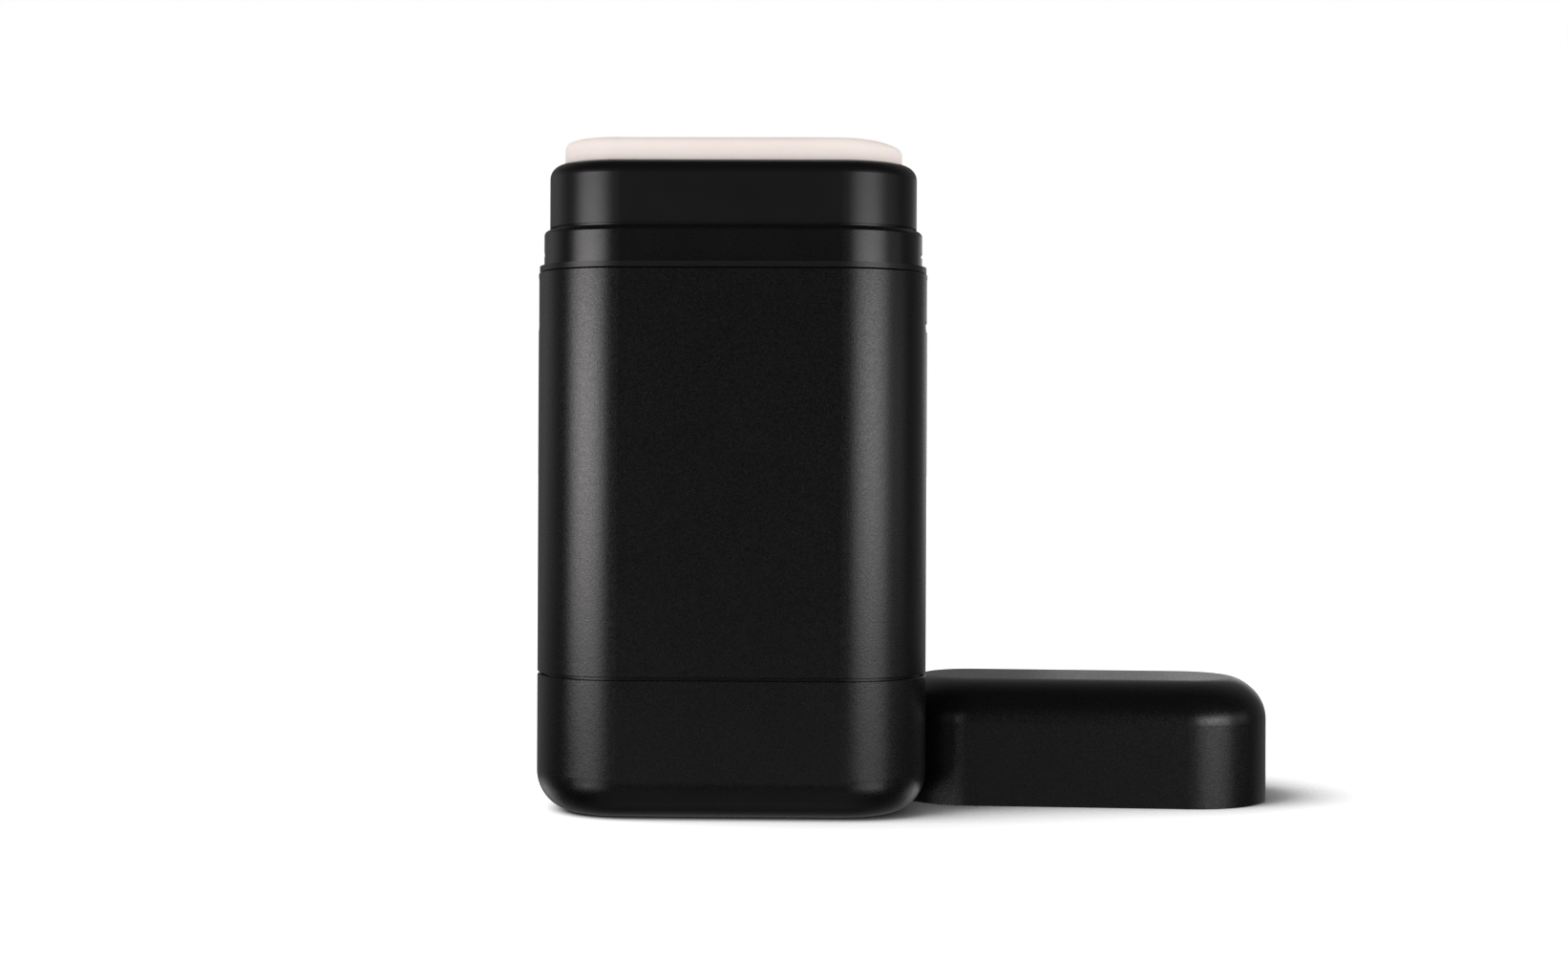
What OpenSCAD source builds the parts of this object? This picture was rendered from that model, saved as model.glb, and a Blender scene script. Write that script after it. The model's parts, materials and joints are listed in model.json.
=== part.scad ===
// Refillable deodorant stick with its cap taken off and stood beside it.
// The front faces -Y. The origin is the middle of the stick's underside, on the surface it stands on.
// Every shell follows one plan: a rounded rectangle, drawn further in for each inner piece.

/* [Case] */
// Width of the case over its narrow ends
case_w = 63; // [60:0.5:66]
// Depth of the case from front to back
case_d = 31.5; // [30.5:0.5:34]
// Flat that the round corners leave in the middle of each narrow end
end_flat = 3.5; // [3:0.1:4.2]
// Wall of the aluminium skins of the base, the sleeve and the cap
skin_t = 0.6; // [0.5:0.05:0.7]
// Height of the base cup
base_h = 22.1; // [18:0.1:24]
// Rounding of the base cup's lower edge
base_round = 6.6; // [5.8:0.1:7]
// Height of the open groove between base cup and sleeve
reveal_h = 0.45; // [0.4:0.05:1.2]
// How far the core lies behind the skins in that groove
reveal_depth = 1.05; // [0.9:0.05:1.2]
// Length of the sleeve
sleeve_h = 64.2; // [62:0.1:68]
// Bevel on the cut edges of the skins
skin_bevel = 0.1; // [0.1:0.05:0.3]

/* [Insert] */
// Wall of the insert's skirt, inside the sleeve
skirt_t = 1; // [0.8:0.05:1.1]
// Height of the flange that sits on the sleeve
flange_h = 1.1; // [1:0.1:1.8]
// Setback of the flange from the case's outline
flange_inset = 0.15; // [0.1:0.05:0.25]
// Bevel under the flange, which draws the dark seam
flange_bevel = 0.2; // [0.15:0.05:0.45]
// Height of the collar that centres the cap
collar_h = 5.75; // [4.6:0.05:6.5]
// Setback of the collar from the case's outline
collar_inset = 0.86; // [0.8:0.02:0.95]
// Rounding of the collar's shoulder
collar_round = 0.8; // [0.3:0.1:0.8]
// Height of the neck above the collar
neck_h = 10.6; // [9.5:0.1:11.5]
// Setback of the neck from the case's outline
neck_inset = 1.77; // [1.7:0.01:1.85]
// Rounding of the neck's upper edge
neck_round = 2.2; // [1:0.1:2.4]
// Height of the snap groove at the neck's foot
groove_h = 0.4; // [0.35:0.05:0.5]
// Depth of the snap groove
groove_depth = 0.5; // [0.35:0.05:0.6]
// Width of the lip round the mouth
lip_w = 2.1; // [2:0.05:2.3]
// Thickness of the lip over the refill
lip_t = 2.6; // [2.4:0.1:3]

/* [Cap] */
// Height of the cap
cap_h = 20.5; // [20:0.1:22]
// Rounding of the cap's upper edge
cap_round = 6.8; // [6:0.1:7]
// Play between the cap's liner and the neck
cap_play = 0.12; // [0.1:0.01:0.15]
// Thickness of the liner's roof
liner_roof_t = 1.2; // [1:0.1:1.5]
// Inner rounding of the liner
liner_round = 5; // [4.6:0.1:5.4]
// How far the snap bead stands in from the liner
bead_reach = 0.35; // [0.25:0.05:0.4]
// How far the cap's near end stands behind the stick's right end
cap_overlap = 4.8; // [0.5:0.1:8]
// Gap between the cap and the stick, corner to corner
cap_gap = 0.4; // [0.3:0.05:0.9]
// Turn of the standing cap, its far end towards the front
cap_turn = 4; // [0:0.5:8]

/* [Stick and refill] */
// Full height of the deodorant block
block_h = 36; // [34:0.1:36.5]
// How far the block stands out of the mouth
block_rise = 4.6; // [3.9:0.1:5]
// How deep the block can be drawn under the mouth's edge
block_sink = 1.5; // [1.2:0.1:1.8]
// Height of block that is left when the dial reaches its upper stop
block_rest = 1.3; // [1:0.1:2]
// Play between the block and the mouth
mouth_play = 0.3; // [0.25:0.01:0.35]
// Play between the block and its cup
cup_play = 0.15; // [0.1:0.01:0.2]
// Wall of the moulded refill cup
cup_t = 0.9; // [0.8:0.05:0.95]
// Rounding of the block's upper edge
block_round = 1.4; // [1:0.1:3]
// Radius of the block's crown
crown_r = 40; // [36:1:90]
// Thickness of the refill's loose base
plunger_t = 1.6; // [1.2:0.1:2]

/* [Release buttons] */
// Width of the window in the sleeve, seen from the side
window_w = 9.8; // [8:0.1:10.4]
// Height of that window
window_h = 8.7; // [7:0.1:9.2]
// Bridge of sleeve left above the window
window_bridge = 0.7; // [0.65:0.05:0.9]
// Corner radius of the window
window_r = 1.2; // [0.6:0.1:1.6]
// Open notch left under the button's pad
pad_notch = 1.45; // [1:0.05:1.8]
// Play round the button's pad
pad_play = 0.15; // [0.12:0.01:0.2]
// How far a button can be pressed in
button_travel = 0.75; // [0.72:0.01:0.8]
// Thickness of the plate behind the pad
button_plate_t = 0.5; // [0.4:0.02:0.5]
// How far that plate reaches past the pad
button_plate_reach = 0.55; // [0.3:0.05:0.6]
// Thickness of the leaf spring
leaf_t = 0.2; // [0.15:0.01:0.22]
// Width of the leaf spring
leaf_w = 4; // [3:0.1:5]

/* [Lift screw] */
// Rise for each full turn of the dial
lead = 5; // [4:0.5:6]
// Radius of the spindle between its threads
root_r = 3.2; // [3.1:0.1:3.4]
// Height of the thread
thread_depth = 1; // [0.8:0.1:1]
// Play between spindle thread and nut thread
thread_play = 0.25; // [0.2:0.01:0.3]
// Length of the nut at the foot of the lift tube
nut_h = 6.5; // [5:0.1:8]
// Inner radius of the lift tube
tube_r = 5; // [4.9:0.1:5.2]
// Wall of the lift tube
tube_t = 1; // [0.8:0.1:1.2]
// Play between the lift tube and its guide
guide_play = 0.2; // [0.15:0.01:0.3]
// Wall of the guide tube
guide_t = 1.6; // [1.5:0.1:1.9]
// Width of the keys that stop the lift tube turning
key_w = 2; // [1.5:0.1:2.5]
// Height of those keys
key_h = 0.8; // [0.6:0.1:0.9]
// Thickness of the lift platform
platform_t = 1.6; // [1.4:0.1:2]
// Setback of the platform's edge from the case's outline
platform_inset = 7; // [6:0.1:8]
// Radius of the bearing journal
journal_r = 3; // [2.8:0.05:3.1]
// Running play of the journal in its bearing
journal_play = 0.08; // [0.04:0.01:0.1]
// Radius of the thrust collar over the bearing
thrust_r = 4.6; // [4:0.1:5]

/* [Dial] */
// Radius of the dial
dial_r = 7.2; // [6.8:0.1:7.3]
// Play between the dial and its well
dial_play = 0.3; // [0.25:0.01:0.4]
// Thickness of the dial's plate
dial_plate_t = 1.3; // [1.1:0.1:1.5]
// Width of the dial's outer rim
dial_rim_w = 0.9; // [0.7:0.05:1.1]
// How far the dial lies above the surface the stick stands on
dial_lift = 0.5; // [0.4:0.1:0.6]
// Width of the grip bar across the dial
grip_w = 2.6; // [2:0.1:3.2]
// Number of finger notches in the rim
notches = 24; // [16:1:30]
// Thickness of the friction ring's cord
ring_cord_d = 1; // [0.9:0.02:1]

/* [Core] */
// Wall of the core
core_t = 1.2; // [1:0.05:1.4]
// Height of the bearing roof over the base's underside
bearing_z = 3.9; // [3.8:0.1:4.2]
// Thickness of the ribs between guide tube and wall
rib_t = 1.2; // [1:0.1:1.6]
// Height up to which those ribs rise
rib_top = 40; // [30:1:55]

/* [Hidden] */

$fn = 96;

// Gap between pieces that are bonded, pressed or laid together
fit = 0.1;
// Gap between faces that slide or turn on each other
slide_gap = 0.05;
// Extra length of a cutter past the face that it cuts
over = 1;

// Corner radius and corner centres of the plan, shared by every shell
corner_r = (case_d - end_flat) / 2;
cx = case_w / 2 - corner_r;
cy = case_d / 2 - corner_r;

// Heights of the case, from the floor up
sleeve_z = base_h + reveal_h;
flange_z = sleeve_z + sleeve_h;
collar_z = flange_z + flange_h;
neck_z = collar_z + collar_h;
neck_top = neck_z + neck_h;

// Setbacks of the inner walls from the case's outline
lining = skin_t + fit;
skirt_in = lining + skirt_t;
mouth_inset = neck_inset + lip_w;
block_inset = mouth_inset + mouth_play;
cup_in = block_inset - cup_play;
cup_out = cup_in - cup_t;
seat_inset = cup_out - fit;
plunger_inset = block_inset + fit;

// Heights of the refill, from the mouth down
block_top = neck_top + block_rise;
block_z = block_top - block_h;
plunger_z = block_z - plunger_t;
cup_top = neck_top - lip_t - fit;

// Way down from the shown place, and way up until the block is used up
travel_down = block_rise + block_sink;
travel_up = block_h - block_rise - block_rest;

// The loose base comes down to the cup's inner lip, and the skirt ends with the cup
cup_lip_h = 1;
cup_lip_w = 1;
cup_z = plunger_z - travel_down - slide_gap - cup_lip_h;
skirt_z = cup_z + slide_gap;
core_top = cup_z - fit;

// The guide tube and the bearing under it
guide_r = tube_r + tube_t + guide_play;
guide_out = guide_r + guide_t;
roof_t = 1.2;
roof_top = bearing_z + roof_t;
thrust_h = 1.2;
shaft_z = roof_top + slide_gap + thrust_h;
well_r = dial_r + dial_play;
well_wall = 1.2;
core_ledge_t = 1.3;
core_ledge_in = cup_in + 0.6;

// Rounding of the base, which stays clear of the dial's well
base_edge = min(base_round, case_d / 2 - well_r - well_wall - 3 * fit);

// The lift screw hangs from the platform's lowest place
platform_z = plunger_z - platform_t;
guide_drop = 2.5;
guide_top = platform_z - travel_down - guide_drop;
spindle_drop = 0.9;
spindle_top = platform_z - travel_down - spindle_drop;
spindle_head_h = 0.4;
stop_ring_h = 1;
stop_neck_r = 2.5;
stop_ring_z = spindle_top - spindle_head_h - slide_gap - stop_ring_h;
thread_top = stop_ring_z - slide_gap;
nut_top = stop_ring_z - 2 * slide_gap - travel_up;
nut_z = nut_top - nut_h;
thread_run = 1.8;
thread_z = max(shaft_z, nut_z - travel_down - thread_run);
crest_r = root_r + thread_depth;
half_crest = 45;
flank = 50;
stop_ring_play = 0.3;
stop_ring_r = tube_r - stop_ring_play;

// The dial, from its plate down. The friction ring lies in a groove in its top
ring_r = 4.6;
ring_groove_d = ring_cord_d / 2;
dial_top = bearing_z - ring_cord_d + ring_groove_d - fit;
dial_plate_z = dial_top - dial_plate_t;
hub_r = 3.4;
hub_z = dial_lift + 0.2;
socket_z = hub_z + 0.7;
hex_r = 2;
ring_z = (bearing_z + dial_top - ring_groove_d) / 2;

// The cap stands mouth down, with its front corner close to the stick's back corner.
// That corner's centre lies near_x to the left of the cap's middle and near_y behind it
near_x = cx * cos(cap_turn) + cy * sin(cap_turn);
near_y = cx * sin(cap_turn) - cy * cos(cap_turn);
cap_x = case_w / 2 + near_x + corner_r - cap_overlap;
cap_y = cy - near_y + sqrt(pow(2 * corner_r + cap_gap, 2) - pow(2 * corner_r - cap_overlap, 2));

// The release buttons
window_top = flange_z - window_bridge;
window_z = window_top - window_h;
pad_z = window_z + pad_notch + pad_play;
pad_top = window_top - pad_play;
pad_w = window_w - 2 * pad_play;
pad_sink = 0.06;
pad_foot = pad_z - button_plate_reach;
plate_out = skirt_in + slide_gap;
plate_in = plate_out + button_plate_t;
leaf_foot_z = skirt_z + 0.9;
leaf_foot_h = 3.5;
leaf_bend_gap = 0.4;

case_black = [0.1, 0.1, 0.1];
moulded_black = [0.12, 0.12, 0.12];

// Outline of the case, drawn further in by an inset
module plan(inset) {
  r = corner_r - inset;
  square([2 * (cx + r), 2 * cy], center = true);
  square([2 * cx, 2 * (cy + r)], center = true);
  for (x = [-cx, cx], y = [-cy, cy]) translate([x, y]) circle(r);
}

// Plate of the plan's shape between two heights
module slab(z0, z1, inset) {
  translate([0, 0, z0]) linear_extrude(z1 - z0) plan(inset);
}

// Block inside the four corner centres, which closes a floor or a roof
module middle(z0, z1) {
  translate([-cx, -cy, z0]) cube([2 * cx, 2 * cy, z1 - z0]);
}

// Carries a wall section once round the plan. The section's x runs out from the corner centres
module around() {
  for (k = [0:3]) rotate(90 * k) {
    a = k % 2 == 0 ? cx : cy;
    b = k % 2 == 0 ? cy : cx;
    translate([a, b, 0]) rotate([90, 0, 0]) linear_extrude(2 * b) children();
    translate([a, b, 0]) rotate_extrude(angle = 90) children();
  }
}

// Filled section out to an inset, with a rounded lower or upper edge
module section(inset, z0, z1, low = 0, high = 0) {
  u = corner_r - inset;
  translate([0, z0 + low]) square([u, z1 - z0 - low - high]);
  if (low > 0) {
    translate([0, z0]) square([u - low, low]);
    translate([u - low, z0 + low]) intersection() {
      circle(low);
      translate([0, -low]) square(low);
    }
  }
  if (high > 0) {
    translate([0, z1 - high]) square([u - high, high]);
    translate([u - high, z1 - high]) intersection() {
      circle(high);
      square(high);
    }
  }
}

// Wall section between two insets
module wall(inset_out, inset_in, z0, z1) {
  translate([corner_r - inset_in, z0]) square([inset_in - inset_out, z1 - z0]);
}

// Small diamond that bevels a section's outer edge at one height
module bevel(inset, z, size) {
  translate([corner_r - inset, z]) polygon([[-size, 0], [0, -size], [size, 0], [0, size]]);
}

// Rounded rectangle, standing on the side of the case and running through its end wall
module end_prism(side, w, z0, z1, r) {
  rotate(side > 0 ? 0 : 180) translate([cx, 0, (z0 + z1) / 2]) rotate([90, 0, 90])
    linear_extrude(corner_r + over) {
      square([w - 2 * r, z1 - z0], center = true);
      square([w, z1 - z0 - 2 * r], center = true);
      for (x = [-1, 1], y = [-1, 1])
        translate([x * (w / 2 - r), y * ((z1 - z0) / 2 - r)]) circle(r);
    }
}

// Radius of the thread's outline at an angle: root, flank, crest and flank again
function thread_r(a, root, crest, half) =
  let (off = min(a, 360 - a))
  off <= half ? crest
  : off >= half + flank ? root
  : crest - (crest - root) * (off - half) / flank;

// Left-hand lead thread between two heights, grown by a play on every side
module lead_thread(z0, z1, play) {
  points = 18;
  turns = (z1 - z0) / lead;
  widen = 360 * play / lead;
  translate([0, 0, z0]) rotate(-360 * z0 / lead)
    linear_extrude(z1 - z0, twist = 360 * turns, slices = ceil(points * turns), $fn = points)
      polygon([for (i = [0:points - 1]) let (a = 360 * i / points)
        thread_r(a, root_r + play, crest_r + play, half_crest + widen) * [cos(a), sin(a)]]);
}

// Drawn aluminium cap, mouth down
module cap_shell() color(case_black) translate([cap_x, cap_y, 0]) rotate(-cap_turn) {
  around() difference() {
    section(0, 0, cap_h, high = cap_round);
    section(skin_t, -over, cap_h - skin_t, high = cap_round - skin_t);
    bevel(0, 0, skin_bevel);
  }
  middle(cap_h - skin_t, cap_h);
}

// Moulded liner in the cap, which grips the neck and snaps under it
module cap_liner() color(moulded_black) translate([cap_x, cap_y, 0]) rotate(-cap_turn) {
  liner_in = neck_inset - cap_play;
  liner_z = collar_h + slide_gap;
  liner_top = cap_h - lining;
  bead_h = groove_h - 2 * slide_gap;
  around() {
    difference() {
      section(lining, liner_z, liner_top, high = cap_round - lining);
      section(liner_in, liner_z - over, liner_top - liner_roof_t, high = liner_round);
    }
    translate([corner_r - liner_in, liner_z])
      polygon([[0.2, 0], [-bead_reach / 2, 0], [-bead_reach, bead_h / 3],
        [-bead_reach, bead_h * 2 / 3], [0.2, bead_h + bead_reach]]);
  }
  middle(liner_top - liner_roof_t, liner_top);
}

// The deodorant itself, with a crowned and rounded top
module deodorant_block() color([0.96, 0.9, 0.88]) {
  u = corner_r - block_inset;
  // Centre of the edge rounding, tangent to the side and to the crown
  uc = u - block_round;
  zc = block_top - crown_r + sqrt(pow(crown_r - block_round, 2) - uc * uc);
  tangent_u = uc * crown_r / (crown_r - block_round);
  around() {
    translate([0, block_z]) square([u, zc - block_z]);
    translate([uc, zc]) intersection() {
      circle(block_round);
      square(block_round);
    }
    intersection() {
      translate([0, block_top - crown_r]) circle(crown_r, $fn = 720);
      translate([0, block_z]) square([tangent_u, block_h + over]);
    }
  }
  middle(block_z, block_top);
}

// Moulded pulp cup of the refill, with an inner lip that keeps its loose base in
module refill_cup() color([0.78, 0.72, 0.62]) around() {
  wall(cup_out, cup_in, cup_z, cup_top);
  wall(cup_out, cup_in + cup_lip_w, cup_z, cup_z + cup_lip_h);
}

// Loose base of the refill, which the platform pushes up
module refill_plunger() color([0.8, 0.74, 0.64]) slab(plunger_z, block_z, plunger_inset);

// Moulded insert: skirt, flange, collar and neck with its mouth
module insert_frame() color(moulded_black) {
  lip_edge = 0.6;
  difference() {
    around() difference() {
      union() {
        wall(lining, skirt_in, skirt_z, flange_z + over);
        difference() {
          wall(flange_inset, seat_inset, flange_z, collar_z);
          bevel(flange_inset, flange_z, flange_bevel);
        }
        difference() {
          section(collar_inset, flange_z, neck_z, high = collar_round);
          section(seat_inset, flange_z - over, neck_z + over);
        }
        difference() {
          section(neck_inset, flange_z, neck_top, high = neck_round);
          section(seat_inset, flange_z - over, neck_top - lip_t);
          section(mouth_inset, neck_top - lip_t - over, neck_top + over);
          bevel(mouth_inset, neck_top, lip_edge);
        }
      }
      wall(neck_inset - over, neck_inset + groove_depth, neck_z, neck_z + groove_h);
    }
    for (side = [-1, 1]) {
      end_prism(side, pad_w + 2 * pad_play, pad_z - pad_play, pad_top + pad_play, window_r);
      collar_nick(side);
    }
  }
}

// Small recess in the end of the collar
module collar_nick(side) {
  nick_w = 9;
  nick_h = 0.8;
  nick_depth = 0.35;
  nick_z = collar_z + 1.5;
  rotate(side > 0 ? 0 : 180)
    translate([cx + corner_r - collar_inset - nick_depth, -nick_w / 2, nick_z])
      cube([nick_depth + over, nick_w, nick_h]);
}

// Release button: a pad in the sleeve's window and a plate behind the skirt
module button(side) {
  plate_top = pad_top + button_plate_reach;
  intersection() {
    difference() {
      slab(pad_z, pad_top, pad_sink);
      slab(pad_z - over, pad_top + over, plate_in);
    }
    end_prism(side, pad_w, pad_z, pad_top, window_r - pad_play);
  }
  intersection() {
    difference() {
      slab(pad_foot, plate_top, plate_out);
      slab(pad_foot - over, plate_top + over, plate_in);
    }
    end_prism(side, pad_w + 2 * button_plate_reach, pad_foot, plate_top, window_r);
  }
}

module left_button() color(case_black) button(-1);
module right_button() color(case_black) button(1);

// Leaf spring: its foot lies on the skirt and its tip presses on the button's back
module leaf(side) {
  foot_x = cx + corner_r - skirt_in - slide_gap;
  tip_x = cx + corner_r - plate_in - slide_gap;
  bend_z = leaf_foot_z + leaf_foot_h;
  tip_foot_z = pad_foot - leaf_bend_gap;
  tip_z = (pad_z + pad_top) / 2;
  rotate(side > 0 ? 0 : 180) rotate([90, 0, 0]) linear_extrude(leaf_w, center = true)
    polygon([
      [foot_x, leaf_foot_z], [foot_x, bend_z], [tip_x, tip_foot_z], [tip_x, tip_z],
      [tip_x - leaf_t, tip_z], [tip_x - leaf_t, tip_foot_z], [foot_x - leaf_t, bend_z],
      [foot_x - leaf_t, leaf_foot_z]
    ]);
}

module left_button_spring() color("silver") leaf(-1);
module right_button_spring() color("silver") leaf(1);

// Aluminium sleeve with a window at each end
module outer_sleeve() color(case_black) difference() {
  around() difference() {
    wall(0, skin_t, sleeve_z, flange_z);
    bevel(0, sleeve_z, skin_bevel);
    bevel(0, flange_z, skin_bevel);
  }
  for (side = [-1, 1]) end_prism(side, window_w, window_z, window_top, window_r);
}

// Moulded core: it lines the base and sleeve, and carries the guide tube and the bearing
module core_frame() color(moulded_black) {
  floor_z = lining;
  floor_top = floor_z + core_t;
  difference() {
    union() {
      around() difference() {
        section(lining, floor_z, core_top, low = base_edge - lining);
        section(lining + core_t, floor_top, core_top + over, low = base_edge - lining - core_t);
        wall(-over, reveal_depth, base_h, sleeve_z);
      }
      around() wall(lining, core_ledge_in, core_top - core_ledge_t, core_top);
      middle(floor_z, floor_top);
      translate([0, 0, floor_z]) cylinder(r = well_r + well_wall, h = roof_top - floor_z);
      translate([0, 0, roof_top - slide_gap]) cylinder(r = guide_out, h = guide_top - roof_top);
      core_ribs();
    }
    translate([0, 0, floor_z - over]) cylinder(r = well_r, h = bearing_z - floor_z + over);
    cylinder(r = journal_r + journal_play, h = roof_top + over);
    translate([0, 0, roof_top]) cylinder(r = guide_r, h = guide_top);
    for (side = [-1, 1]) guide_slot(side);
  }
}

// Ribs from the guide tube to the core's four walls
module core_ribs() {
  z = base_edge + core_t;
  reach_x = cx + corner_r - lining - core_t / 2;
  reach_y = cy + corner_r - lining - core_t / 2;
  translate([-reach_x, -rib_t / 2, z]) cube([2 * reach_x, rib_t, rib_top - z]);
  translate([-rib_t / 2, -reach_y, z]) cube([rib_t, 2 * reach_y, rib_top - z]);
}

// Slot in the guide tube for one key of the lift tube
module guide_slot(side) {
  w = key_w + 2 * guide_play;
  reach = tube_r + tube_t + key_h + guide_play;
  translate([-w / 2, side > 0 ? 0 : -reach, roof_top]) cube([w, reach, guide_top]);
}

// Drawn aluminium base cup with a round opening for the dial
module base_shell() color(case_black) {
  hole_r = well_r + 2 * fit;
  difference() {
    union() {
      around() difference() {
        section(0, 0, base_h, low = base_edge);
        section(skin_t, skin_t, base_h + over, low = base_edge - skin_t);
        bevel(0, base_h, skin_bevel);
      }
      middle(0, skin_t);
    }
    translate([0, 0, -over]) cylinder(r = hole_r, h = skin_t + 2 * over);
  }
}

// Lift platform with its keyed tube, whose foot is the nut
module lift_platform() color([0.85, 0.85, 0.83]) {
  rim_h = 1;
  rim_w = 1;
  out_r = tube_r + tube_t;
  rib_reach = cx + corner_r - platform_inset - rim_w / 2;
  slab(platform_z, plunger_z, platform_inset);
  around() wall(platform_inset, platform_inset + rim_w, platform_z - rim_h, platform_z + platform_t / 2);
  translate([-rib_reach, -rib_t / 2, platform_z - rim_h])
    difference() {
      cube([2 * rib_reach, rib_t, rim_h + platform_t / 2]);
      translate([rib_reach, rib_t / 2, -over]) cylinder(r = out_r - tube_t / 2, h = rim_h + over);
    }
  difference() {
    union() {
      translate([0, 0, nut_z]) cylinder(r = out_r, h = platform_z - nut_z + platform_t / 2);
      for (side = [-1, 1])
        translate([-key_w / 2, side > 0 ? out_r - tube_t / 2 : -out_r - key_h, nut_z])
          cube([key_w, tube_t / 2 + key_h, guide_top - travel_down - nut_z]);
    }
    translate([0, 0, nut_top]) cylinder(r = tube_r, h = platform_z - nut_top);
    lead_thread(nut_z - over, nut_top + over, thread_play);
  }
}

// Lift spindle: a hexagon drive, bearing journal, thrust collar, lead thread and stop neck
module lift_spindle() color([0.9, 0.9, 0.87]) {
  journal_z = dial_top + slide_gap;
  thrust_z = shaft_z - thrust_h;
  translate([0, 0, socket_z + slide_gap])
    cylinder(r = hex_r - slide_gap, h = journal_z - socket_z + slide_gap, $fn = 6);
  translate([0, 0, journal_z]) cylinder(r = journal_r, h = thrust_z - journal_z + slide_gap);
  translate([0, 0, thrust_z]) cylinder(r = thrust_r, h = thrust_h);
  translate([0, 0, shaft_z - slide_gap])
    cylinder(r = root_r - slide_gap, h = thread_z - shaft_z + 2 * slide_gap);
  lead_thread(thread_z, thread_top, 0);
  translate([0, 0, thread_top - slide_gap])
    cylinder(r = stop_neck_r, h = spindle_top - thread_top - spindle_head_h + 2 * slide_gap);
  translate([0, 0, spindle_top - spindle_head_h])
    cylinder(r1 = root_r, r2 = stop_neck_r, h = spindle_head_h);
}

// Open ring snapped on the spindle's neck, which stops the nut at the top of its travel
module spindle_stop_ring() color("silver") translate([0, 0, stop_ring_z]) difference() {
  mouth_w = stop_neck_r * 1.6;
  cylinder(r = stop_ring_r, h = stop_ring_h);
  translate([0, 0, -over]) cylinder(r = stop_neck_r + slide_gap, h = stop_ring_h + 2 * over);
  translate([0, -mouth_w / 2, -over]) cube([stop_ring_r + over, mouth_w, stop_ring_h + 2 * over]);
}

// Dial under the base: rim with finger notches, plate, hub and grip bar
module dial() color(case_black) difference() {
  notch_r = 0.35;
  bar_top = dial_plate_z + slide_gap;
  groove_half_w = ring_cord_d * 0.7;
  union() {
    difference() {
      translate([0, 0, dial_lift]) cylinder(r = dial_r, h = dial_top - dial_lift);
      translate([0, 0, dial_lift - over])
        cylinder(r = dial_r - dial_rim_w, h = dial_plate_z - dial_lift + over);
    }
    translate([0, 0, hub_z]) cylinder(r = hub_r, h = dial_top - hub_z);
    translate([0, 0, hub_z]) intersection() {
      cylinder(r = dial_r - dial_rim_w / 2, h = bar_top - hub_z);
      translate([-dial_r, -grip_w / 2, 0]) cube([2 * dial_r, grip_w, bar_top - hub_z]);
    }
  }
  translate([0, 0, socket_z]) cylinder(r = hex_r, h = dial_top, $fn = 6);
  translate([0, 0, dial_top - ring_groove_d]) difference() {
    cylinder(r = ring_r + groove_half_w, h = ring_groove_d + over);
    translate([0, 0, -over]) cylinder(r = ring_r - groove_half_w, h = ring_groove_d + 3 * over);
  }
  for (k = [0:notches - 1]) rotate(360 * k / notches)
    translate([dial_r - dial_rim_w - over, 0, dial_lift]) rotate([0, 90, 0])
      cylinder(r = notch_r, h = dial_rim_w + 2 * over, $fn = 24);
}

// Rubber ring between dial and bearing, whose drag holds the stick where it is set
module dial_friction_ring() color([0.15, 0.15, 0.15]) translate([0, 0, ring_z])
  rotate_extrude() translate([ring_r, 0]) circle(ring_cord_d / 2);

cap_shell();
cap_liner();
deodorant_block();
refill_cup();
refill_plunger();
insert_frame();
left_button();
right_button();
left_button_spring();
right_button_spring();
outer_sleeve();
core_frame();
base_shell();
lift_platform();
lift_spindle();
spindle_stop_ring();
dial();
dial_friction_ring();
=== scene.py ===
"""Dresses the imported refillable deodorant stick: finishes, sculpted stick, floor, light and camera."""
import json
import math

import bmesh
import bpy
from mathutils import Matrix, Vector, noise


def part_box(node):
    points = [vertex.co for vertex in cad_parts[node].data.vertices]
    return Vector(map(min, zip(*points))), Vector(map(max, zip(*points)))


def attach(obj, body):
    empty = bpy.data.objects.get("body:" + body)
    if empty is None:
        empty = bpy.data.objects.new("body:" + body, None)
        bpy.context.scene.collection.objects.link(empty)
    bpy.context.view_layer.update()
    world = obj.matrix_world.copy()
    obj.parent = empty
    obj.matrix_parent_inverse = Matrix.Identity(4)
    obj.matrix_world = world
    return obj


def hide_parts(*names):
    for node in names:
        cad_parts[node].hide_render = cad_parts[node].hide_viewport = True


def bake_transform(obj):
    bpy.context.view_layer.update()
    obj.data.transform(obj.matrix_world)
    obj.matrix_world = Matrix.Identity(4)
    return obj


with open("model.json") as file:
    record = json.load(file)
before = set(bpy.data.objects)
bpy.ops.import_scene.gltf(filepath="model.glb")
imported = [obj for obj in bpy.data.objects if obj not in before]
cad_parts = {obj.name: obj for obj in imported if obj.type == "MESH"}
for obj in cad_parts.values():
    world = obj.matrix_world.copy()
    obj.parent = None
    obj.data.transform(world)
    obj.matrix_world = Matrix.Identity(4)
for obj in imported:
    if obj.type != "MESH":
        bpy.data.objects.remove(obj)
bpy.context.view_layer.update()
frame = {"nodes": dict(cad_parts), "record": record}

# Sizes are in metres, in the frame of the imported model
MM = 0.001
# Vertices closer than this are one
MERGE = 0.001 * MM

# Focal length in millimetres on Blender's 36 mm sensor, and the camera's place
LENS = 52.77
CAMERA_AT = (0.01457, -0.3748, 0.0549)
CAMERA_YAW = math.radians(0.95)
CAMERA_ROLL = math.radians(-0.25)
CAMERA_SHIFT_Y = -0.006
CAMERA_CLIP = 10 * MM

# Corner centres of the plan that every shell of the case follows
CORNER_X = 17.5 * MM
CORNER_Y = 1.75 * MM
# Steps round the plan and up the block
ARC_STEPS, LONG_STEPS, SHORT_STEPS = 22, 26, 4
SIDE_STEPS, TOP_STEPS = 10, 26
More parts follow.
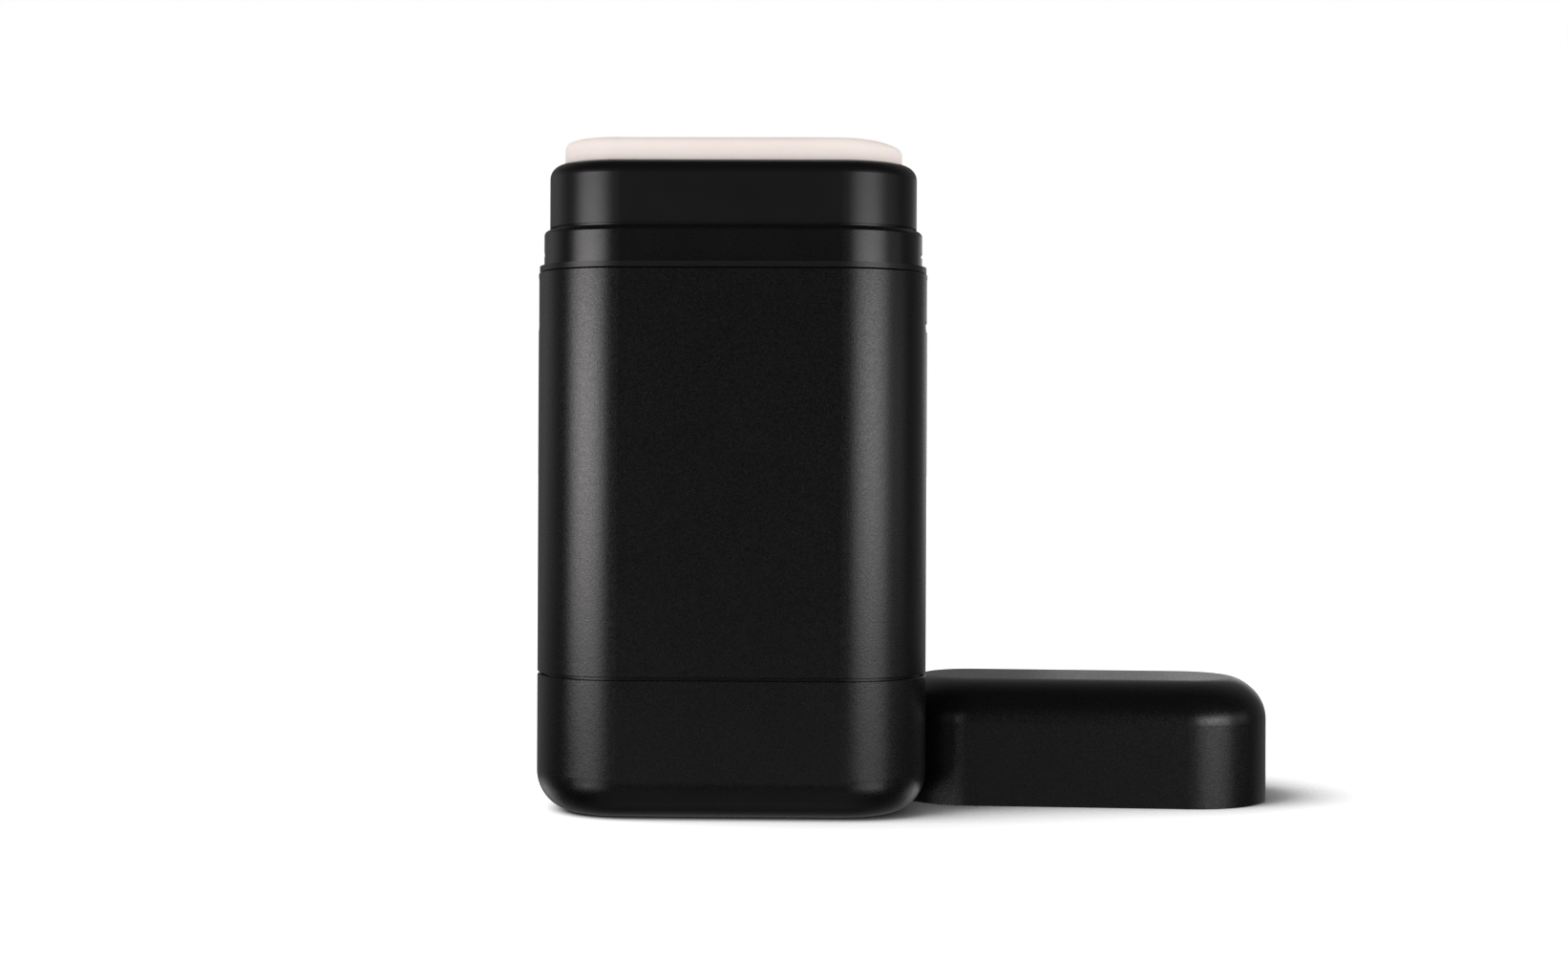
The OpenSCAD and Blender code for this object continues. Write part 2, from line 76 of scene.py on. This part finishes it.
# Top of the block: the radius of its crown, then how strongly it is crowned, how deep its edge falls and
# over what length, towards the front, the right end and the left end
CROWN_RADIUS = 40 * MM
BLOCK_FRONT = (1, 0.5 * MM, 1 * MM)
BLOCK_RIGHT = (1, 0.95 * MM, 1.6 * MM)
BLOCK_LEFT = (0.8, 0.55 * MM, 0.6 * MM)
# How early round a corner the top has become as it is at the end
END_GAIN = 1.4
EDGE_ROUND = 0.6 * MM
# Unevenness of the block's top, and over what inset it sets in
WAVE_LENGTH = 8 * MM
WAVE_HEIGHT = 0.14 * MM
WAVE_START = 2 * MM

# Heights of the collar's and the neck's foot, where the moulding's surface changes
COLLAR_FOOT = 87.85 * MM
NECK_FOOT = 93.6 * MM
# Heights between which a leaf spring bends, and the steps in its bend
LEAF_BEND = 68.5 * MM
LEAF_TIP = 78 * MM
BEND_STEPS = 8

# Half the floor's width, and its two greys with the size of their patches
FLOOR_HALF = 30
FLOOR_GREYS = (0.29, 0.31)
FLOOR_PATCH = 0.4
# Light that the pale floor gives off, and how far round a standing thing it fades into a painted
# contact shadow, over what share of openness, and the side that the light comes from
FLOOR_GLOW = 1
CONTACT_REACH = 65 * MM
CONTACT_RANGE = (0.54, 0.9)
FLOOR_LIGHT_FROM = (-0.72, -0.46, 0.5)

# Light of the dome on matt surfaces, and what gloss reflects of the room in front and behind
DOME = 0.9
GLOSS_FRONT = 0.02
GLOSS_BACK = 0.2
GLOSS_TOWARDS = (0, 1, 0.1)
GLOSS_START = -0.1

# Each softbox is a stack of narrower and narrower lights, so that its light falls off to the sides
SOFTBOX_LAYERS = 3
SOFTBOX_LAYER_GAP = 0.002
SOFTBOX_AIM = (0, 0, 0.06)
WHITE = (1, 1, 1)
# Name, azimuth from the front, distance, height, size, radiance and colour. Those below the floor are dim
# and stand for the gleam of the studio's lamps in it.
SOFTBOXES = (
    ("softbox_left", -47.5, 0.7, 0.085, (0.64, 0.22), 9.5, (1, 0.965, 0.98)),
    ("softbox_right", 41.5, 0.75, 0.09, (0.66, 0.24), 6.7, WHITE),
    ("softbox_side", 80, 0.75, 0.09, (0.4, 0.24), 0.75, WHITE),
    ("glow_front", 0, 0.7, -0.14, (0.9, 0.16), 0.33, WHITE),
    ("glow_below", 0, 0.32, -0.34, (0.5, 0.36), 0.14, WHITE),
    ("glow_foot", 0, 0.08, -0.42, (0.5, 0.36), 0.16, WHITE),
    ("backlight_left", -115, 0.7, 0.15, (0.6, 0.4), 0.35, WHITE),
    ("backlight_right", 156, 0.7, 0.1, (0.36, 0.22), 0.8, WHITE),
    ("gleam_front_left", -45, 0.7, -0.28, (0.5, 0.3), 2.5, WHITE),
    ("gleam_front_right", 45, 0.7, -0.28, (0.5, 0.3), 2.5, WHITE),
    ("gleam_back_right", 135, 0.7, -0.28, (0.5, 0.3), 0.9, WHITE),
    ("gleam_back_left", 225, 0.7, -0.28, (0.5, 0.3), 0.9, WHITE),
)


def srgb(red, green, blue):
    """Linear colour from display values between 0 and 255."""
    def linear(value):
        v = value / 255
        return v / 12.92 if v <= 0.04045 else ((v + 0.055) / 1.055) ** 2.4
    return (linear(red), linear(green), linear(blue), 1)


class Finish:
    """A material under construction, with short calls for the nodes that it is made of."""

    def __init__(self, name):
        self.material = bpy.data.materials.new(name)
        self.material.use_nodes = True
        self.nodes = self.material.node_tree.nodes
        self.links = self.material.node_tree.links
        self.shader = self.nodes["Principled BSDF"]
        self.object_place = self.nodes.new("ShaderNodeTexCoord").outputs["Object"]

    def set(self, name, value):
        """Sets a socket of the shader that is the same all over the surface."""
        self.shader.inputs[name].default_value = value

    def plug(self, name, output):
        """Feeds a socket of the shader from a node."""
        self.links.new(output, self.shader.inputs[name])

    def colour(self, value, first, second):
        """Blends the surface's colour between two display colours by the middle range of a noise."""
        self.plug("Base Color", self.mix(self.spread(value, 0, 1), srgb(*first), srgb(*second)))

    def stretched(self, scale):
        """Object coordinates, stretched by a factor for each axis."""
        mapping = self.nodes.new("ShaderNodeMapping")
        mapping.inputs["Scale"].default_value = scale
        self.links.new(self.object_place, mapping.inputs["Vector"])
        return mapping.outputs["Vector"]

    def above(self, height, blend):
        """Value that rises from 0 to 1 over a short blend at a height."""
        axes = self.nodes.new("ShaderNodeSeparateXYZ")
        self.links.new(self.object_place, axes.inputs["Vector"])
        return self.spread(axes.outputs["Z"], 0, 1, height - blend / 2, height + blend / 2)

    def sum(self, first, second):
        """Adds two values."""
        node = self.nodes.new("ShaderNodeMath")
        self.links.new(first, node.inputs[0])
        self.links.new(second, node.inputs[1])
        return node.outputs["Value"]

    def noise(self, grain, detail=2, rough=0.5, place=None):
        """Noise whose grains measure about the given length."""
        node = self.nodes.new("ShaderNodeTexNoise")
        node.inputs["Scale"].default_value = 1 / grain
        node.inputs["Detail"].default_value = detail
        node.inputs["Roughness"].default_value = rough
        self.links.new(place or self.object_place, node.inputs["Vector"])
        return node.outputs["Fac"]

    def flakes(self, grain):
        """Even random values from 0 to 1, one for each small cell of about the given size."""
        node = self.nodes.new("ShaderNodeTexVoronoi")
        node.inputs["Scale"].default_value = 1 / grain
        self.links.new(self.object_place, node.inputs["Vector"])
        channels = self.nodes.new("ShaderNodeSeparateColor")
        self.links.new(node.outputs["Color"], channels.inputs["Color"])
        return channels.outputs["Red"]

    def openness(self, reach, towards):
        """How open the surroundings are within a reach and round a direction, from 0 to 1."""
        node = self.nodes.new("ShaderNodeAmbientOcclusion")
        node.inputs["Distance"].default_value = reach
        direction = self.nodes.new("ShaderNodeCombineXYZ")
        for axis, number in zip("XYZ", Vector(towards).normalized()):
            direction.inputs[axis].default_value = number
        self.links.new(direction.outputs["Vector"], node.inputs["Normal"])
        return node.outputs["AO"]

    def spread(self, value, low, high, start=0.3, end=0.7):
        """Maps a range, if not given the middle range of a noise, to values from low to high."""
        node = self.nodes.new("ShaderNodeMapRange")
        for name, number in (("From Min", start), ("From Max", end), ("To Min", low), ("To Max", high)):
            node.inputs[name].default_value = number
        self.links.new(value, node.inputs["Value"])
        return node.outputs["Result"]

    def mix(self, value, first, second):
        """Blends two colours by a value."""
        node = self.nodes.new("ShaderNodeMix")
        node.data_type = "RGBA"
        self.links.new(value, node.inputs[0])
        node.inputs["A"].default_value = first
        node.inputs["B"].default_value = second
        return node.outputs["Result"]

    def clear_from_behind(self):
        """Lets what stands on the surface be seen from its other side."""
        choice = self.nodes.new("ShaderNodeMixShader")
        self.links.new(self.nodes.new("ShaderNodeNewGeometry").outputs["Backfacing"], choice.inputs[0])
        self.links.new(self.shader.outputs["BSDF"], choice.inputs[1])
        self.links.new(self.nodes.new("ShaderNodeBsdfTransparent").outputs["BSDF"], choice.inputs[2])
        self.links.new(choice.outputs["Shader"], self.nodes["Material Output"].inputs["Surface"])

    def bump(self, height, distance, below=None):
        """Raises the surface by up to a distance, over an earlier bump if there is one."""
        node = self.nodes.new("ShaderNodeBump")
        node.inputs["Distance"].default_value = distance
        self.links.new(height, node.inputs["Height"])
        if below is not None:
            self.links.new(below, node.inputs["Normal"])
        return node.outputs["Normal"]


def anodised_black():
    """Bead-blasted aluminium, anodised black: dark, matt and faintly sparkling."""
    finish = Finish("anodised_black_finish")
    flakes = finish.flakes(0.2 * MM)
    finish.colour(finish.noise(9 * MM, detail=3), (4, 4, 4), (6, 6, 6))
    finish.plug("Roughness", finish.spread(flakes, 0.24, 0.33, 0, 1))
    blasted = finish.bump(finish.noise(0.22 * MM, detail=1), 0.015 * MM)
    finish.plug("Normal", finish.bump(finish.noise(0.9 * MM), 0.008 * MM, blasted))
    finish.set("IOR", 1.49)
    return finish.material


def moulded_black():
    """Satin black moulded plastic with a fine spark-eroded grain, smoothest on the collar."""
    finish = Finish("moulded_black_finish")
    grain = finish.noise(0.18 * MM)
    finish.colour(finish.noise(6 * MM), (4, 4, 4), (7, 7, 7))
    rough = finish.spread(grain, 0.32, 0.35)
    for height, blend, change in ((COLLAR_FOOT, 0.1 * MM, -0.07), (NECK_FOOT, 0.5 * MM, 0.06)):
        rough = finish.sum(rough, finish.spread(finish.above(height, blend), 0, change, 0, 1))
    finish.plug("Roughness", rough)
    flow = finish.bump(finish.noise(3.5 * MM), 0.012 * MM)
    finish.plug("Normal", finish.bump(grain, 0.002 * MM, flow))
    finish.set("IOR", 1.5)
    return finish.material


def deodorant():
    """Soft, waxy deodorant, a warm pinkish white."""
    finish = Finish("deodorant_finish")
    finish.colour(finish.noise(11 * MM, detail=3), (240, 226, 222), (242, 231, 225))
    finish.plug("Roughness", finish.spread(finish.noise(2 * MM), 0.5, 0.66))
    smear = finish.bump(finish.noise(2.2 * MM, detail=3), 0.05 * MM)
    finish.plug("Normal", finish.bump(finish.noise(0.25 * MM), 0.006 * MM, smear))
    finish.set("IOR", 1.43)
    finish.set("Subsurface Weight", 0.35)
    finish.set("Subsurface Scale", 2.5 * MM)
    finish.set("Subsurface Radius", (1, 0.75, 0.6))
    return finish.material


def pulp():
    """Pressed bamboo pulp: matt and fibrous."""
    finish = Finish("pulp_finish")
    fibres = finish.noise(0.5 * MM, detail=4, rough=0.65, place=finish.stretched((1, 1, 0.25)))
    finish.colour(fibres, (176, 158, 130), (214, 200, 176))
    finish.plug("Roughness", finish.spread(fibres, 0.8, 0.95))
    finish.plug("Normal", finish.bump(fibres, 0.12 * MM))
    return finish.material


def natural_plastic():
    """Uncoloured moulded plastic, slightly milky."""
    finish = Finish("natural_plastic_finish")
    finish.colour(finish.noise(5 * MM), (222, 221, 214), (233, 232, 226))
    finish.plug("Roughness", finish.spread(finish.noise(0.4 * MM), 0.34, 0.44))
    finish.plug("Normal", finish.bump(finish.noise(1.2 * MM), 0.01 * MM))
    finish.set("Subsurface Weight", 0.2)
    finish.set("Subsurface Scale", 1.5 * MM)
    return finish.material


def spring_steel():
    """Rolled stainless spring strip, with the roll's fine lines along it."""
    finish = Finish("spring_steel_finish")
    lines = finish.noise(0.08 * MM, place=finish.stretched((1, 1, 0.04)))
    finish.colour(lines, (176, 176, 178), (198, 198, 198))
    finish.plug("Roughness", finish.spread(lines, 0.24, 0.36))
    finish.plug("Normal", finish.bump(lines, 0.003 * MM))
    finish.set("Metallic", 1)
    return finish.material


def ring_rubber():
    """Matt black rubber of the dial's friction ring."""
    finish = Finish("ring_rubber_finish")
    grain = finish.noise(0.15 * MM, detail=3)
    finish.colour(grain, (24, 24, 24), (34, 33, 32))
    finish.plug("Roughness", finish.spread(grain, 0.7, 0.85))
    finish.plug("Normal", finish.bump(grain, 0.01 * MM))
    return finish.material


def dress_nodes():
    """Gives every CAD node the finish that its slot in the record stands for, and returns the finishes."""
    makers = (anodised_black, moulded_black, deodorant, pulp, natural_plastic, spring_steel, ring_rubber)
    finishes = {maker.__name__: maker() for maker in makers}
    for part in frame["record"]["subparts"]:
        for slot in frame["nodes"][part["node"]].material_slots:
            slot.material = finishes[part["material_slot"]]
    return finishes


def plan_loop(radius, inward=0):
    """Loop round the case's plan at a radius from its corner centres, with each point's outward direction.

    The corner centres can be moved inward too, by up to the whole of their distance from the middle line.
    """
    corner_x, corner_y = CORNER_X - inward, CORNER_Y - inward
    loop = []
    for quarter in range(4):
        middle_x = corner_x if quarter in (0, 3) else -corner_x
        middle_y = corner_y if quarter < 2 else -corner_y
        next_x = corner_x if quarter in (2, 3) else -corner_x
        next_y = corner_y if quarter in (0, 3) else -corner_y
        for step in range(ARC_STEPS + 1):
            angle = math.pi / 2 * (quarter + step / ARC_STEPS)
            out = (math.cos(angle), math.sin(angle))
            loop.append((middle_x + radius * out[0], middle_y + radius * out[1], out))
        # The straight run to the next corner keeps the last direction
        x, y, out = loop[-1]
        run_x, run_y = next_x - middle_x, next_y - middle_y
        steps = LONG_STEPS if quarter % 2 == 0 else SHORT_STEPS
        loop += [(x + run_x * k / steps, y + run_y * k / steps, out) for k in range(1, steps)]
    return loop


def block_drop(inset, radius, out):
    """How far the block's top lies under its crown, at an inset from its side."""
    side = min(1, abs(out[0]) * END_GAIN) * (1 if out[0] > 0 else -1)
    ends = BLOCK_RIGHT if side > 0 else BLOCK_LEFT
    crown, edge, soft = (front + abs(side) * (end - front) for front, end in zip(BLOCK_FRONT, ends))
    across = radius - inset
    fall = math.exp(-inset / soft) - math.exp(-radius / soft)
    return crown * across * across / (2 * CROWN_RADIUS) + edge * fall


def top_point(x, y, out, inset, radius, crest):
    """Point of the block's top at an inset from its side, with its edge rounded and its surface uneven."""
    away = max(0, 1 - inset / EDGE_ROUND)
    rounding = EDGE_ROUND * (1 - math.sqrt(1 - away * away))
    wave = noise.noise(Vector((x, y, 0)) / WAVE_LENGTH)
    uneven = WAVE_HEIGHT * (0.5 + 0.5 * wave) * min(1, inset / WAVE_START)
    return Vector((x, y, crest - block_drop(inset, radius, out) - rounding - uneven))


def block_rings():
    """Rings of the block's points, from its foot to the middle of its top."""
    low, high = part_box("deodorant_block")
    radius = high[0] - CORNER_X
    rings = []
    # The side, from the foot up to just under the edge
    for step in range(SIDE_STEPS):
        share = step / SIDE_STEPS
        ring = []
        for x, y, out in plan_loop(radius):
            top = high[2] - block_drop(0, radius, out)
            ring.append(Vector((x, y, low[2] + share * (top - EDGE_ROUND - low[2]))))
        rings.append(ring)
    # The rounded edge and the crown, then the strip between the corner centres
    insets = [radius * (step / TOP_STEPS) ** 2 for step in range(TOP_STEPS + 1)]
    loops = [(inset, plan_loop(radius - inset)) for inset in insets]
    loops += [(radius, plan_loop(0, inward)) for inward in (CORNER_Y / 2, CORNER_Y)]
    for inset, loop in loops:
        rings.append([top_point(x, y, out, inset, radius, high[2]) for x, y, out in loop])
    return rings


def add_block(material):
    """The deodorant, sculpted with the soft, slightly uneven top that a poured stick has."""
    mesh_data = bmesh.new()
    loops = [[mesh_data.verts.new(point) for point in ring] for ring in block_rings()]
    count = len(loops[0])
    for below, above in zip(loops, loops[1:]):
        for k in range(count):
            following = (k + 1) % count
            mesh_data.faces.new((below[k], below[following], above[following], above[k]))
    mesh_data.faces.new(reversed(loops[0]))
    bmesh.ops.remove_doubles(mesh_data, verts=mesh_data.verts, dist=MERGE)
    bmesh.ops.dissolve_degenerate(mesh_data, edges=mesh_data.edges, dist=MERGE)
    mesh = bpy.data.meshes.new("deodorant_stick")
    mesh_data.to_mesh(mesh)
    mesh_data.free()
    mesh.shade_smooth()
    mesh.materials.append(material)
    block = bpy.data.objects.new("deodorant_stick", mesh)
    bpy.context.scene.collection.objects.link(block)
    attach(block, "carriage")
    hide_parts("deodorant_block")


def add_leaf(side, material):
    """The leaf spring behind a button, copied from its CAD node and cut across at steps between the heights
    of its bend.
    """
    node = f"{side}_button_spring"
    mesh = frame["nodes"][node].data.copy()
    mesh.materials.clear()
    mesh.materials.append(material)
    leaf = bpy.data.objects.new(f"{side}_button_leaf", mesh)
    bpy.context.scene.collection.objects.link(leaf)
    mesh_data = bmesh.new()
    mesh_data.from_mesh(mesh)
    for step in range(1, BEND_STEPS):
        height = LEAF_BEND + (LEAF_TIP - LEAF_BEND) * step / BEND_STEPS
        whole = mesh_data.verts[:] + mesh_data.edges[:] + mesh_data.faces[:]
        bmesh.ops.bisect_plane(mesh_data, geom=whole, plane_co=(0, 0, height), plane_no=(0, 0, 1))
    mesh_data.to_mesh(mesh)
    mesh_data.free()
    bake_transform(leaf)
    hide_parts(node)


def add_floor():
    """Large pale floor with a painted contact shadow, which lights the stick from below but doesn't mirror
    in it.
    """
    corners = [(x * FLOOR_HALF, y * FLOOR_HALF, 0) for x, y in ((-1, -1), (1, -1), (1, 1), (-1, 1))]
    mesh = bpy.data.meshes.new("floor")
    mesh.from_pydata(corners, [], [(0, 1, 2, 3)])
    floor = bpy.data.objects.new("floor", mesh)
    bpy.context.scene.collection.objects.link(floor)
    finish = Finish("floor_finish")
    greys = [(grey, grey, grey, 1) for grey in FLOOR_GREYS]
    finish.plug("Base Color", finish.mix(finish.noise(FLOOR_PATCH), *greys))
    finish.set("Roughness", 0.9)
    finish.set("Emission Color", (1, 1, 1, 1))
    # The floor's own light fades where something stands close by towards the light: a painted contact
    # shadow, worked out from ambient occlusion, so the contact stays dark
    open_side = finish.openness(CONTACT_REACH, FLOOR_LIGHT_FROM)
    finish.plug("Emission Strength", finish.spread(open_side, 0, FLOOR_GLOW, *CONTACT_RANGE))
    finish.clear_from_behind()
    mesh.materials.append(finish.material)
    floor.visible_glossy = False


def add_world():
    """White surroundings for the camera, a soft dome for matt surfaces, and dimmer ones for gloss."""
    world = bpy.data.worlds.new("studio")
    bpy.context.scene.world = world
    world.use_nodes = True
    nodes, links = world.node_tree.nodes, world.node_tree.links
    nodes.clear()
    path = nodes.new("ShaderNodeLightPath")

    def background(strength):
        node = nodes.new("ShaderNodeBackground")
        node.inputs["Color"].default_value = (1, 1, 1, 1)
        node.inputs["Strength"].default_value = strength
        return node

    def choose(test, if_not, if_so):
        node = nodes.new("ShaderNodeMixShader")
        links.new(path.outputs[test], node.inputs[0])
        links.new(if_not.outputs[0], node.inputs[1])
        links.new(if_so.outputs[0], node.inputs[2])
        return node

    # Gloss finds a dark room in front and the pale backdrop behind
    towards = nodes.new("ShaderNodeVectorMath")
    towards.operation = "DOT_PRODUCT"
    links.new(nodes.new("ShaderNodeTexCoord").outputs["Generated"], towards.inputs[0])
    towards.inputs[1].default_value = Vector(GLOSS_TOWARDS).normalized()
    ramp = nodes.new("ShaderNodeMapRange")
    ramp.interpolation_type = "SMOOTHSTEP"
    ramp.inputs["From Min"].default_value = GLOSS_START
    ramp.inputs["From Max"].default_value = 1
    ramp.inputs["To Min"].default_value = GLOSS_FRONT
    ramp.inputs["To Max"].default_value = GLOSS_BACK
    links.new(towards.outputs["Value"], ramp.inputs["Value"])
    gloss = background(GLOSS_FRONT)
    links.new(ramp.outputs["Result"], gloss.inputs["Strength"])
    by_surface = choose("Is Glossy Ray", background(DOME), gloss)
    by_ray = choose("Is Camera Ray", by_surface, background(1))
    links.new(by_ray.outputs[0], nodes.new("ShaderNodeOutputWorld").inputs["Surface"])


def add_softbox(name, azimuth, distance, height, size, radiance, tint):
    """Softbox that shows in gloss only, brightest in its middle."""
    angle = math.radians(azimuth)
    for layer in range(SOFTBOX_LAYERS):
        share = 1 - layer / SOFTBOX_LAYERS
        width, tall = size[0] * share, size[1] * share
        light = bpy.data.lights.new(f"{name}_{layer}", "AREA")
        light.shape = "RECTANGLE"
        light.size, light.size_y = width, tall
        light.color = tint
        # A rectangular area light of this power has an even share of the radiance on its face
        light.energy = radiance / SOFTBOX_LAYERS * math.pi * width * tall
        softbox = bpy.data.objects.new(light.name, light)
        near = distance - layer * SOFTBOX_LAYER_GAP
        softbox.location = (near * math.sin(angle), -near * math.cos(angle), height)
        aim = Vector(SOFTBOX_AIM) - softbox.location
        softbox.rotation_euler = aim.to_track_quat("-Z", "Y").to_euler()
        softbox.visible_camera = False
        softbox.visible_diffuse = False
        bpy.context.scene.collection.objects.link(softbox)


def add_camera():
    """The camera at the photograph's viewpoint."""
    camera = bpy.data.objects.new("camera", bpy.data.cameras.new("camera"))
    camera.data.lens = LENS
    camera.data.shift_y = CAMERA_SHIFT_Y
    camera.data.clip_start = CAMERA_CLIP
    camera.location = CAMERA_AT
    camera.rotation_euler = (math.pi / 2, CAMERA_ROLL, CAMERA_YAW)
    bpy.context.scene.collection.objects.link(camera)
    bpy.context.scene.camera = camera


bpy.context.scene.view_settings.view_transform = "Standard"
add_camera()
finishes = dress_nodes()
add_block(finishes["deodorant"])
for side in ("left", "right"):
    add_leaf(side, finishes["spring_steel"])
add_floor()
add_world()
for softbox in SOFTBOXES:
    add_softbox(*softbox)
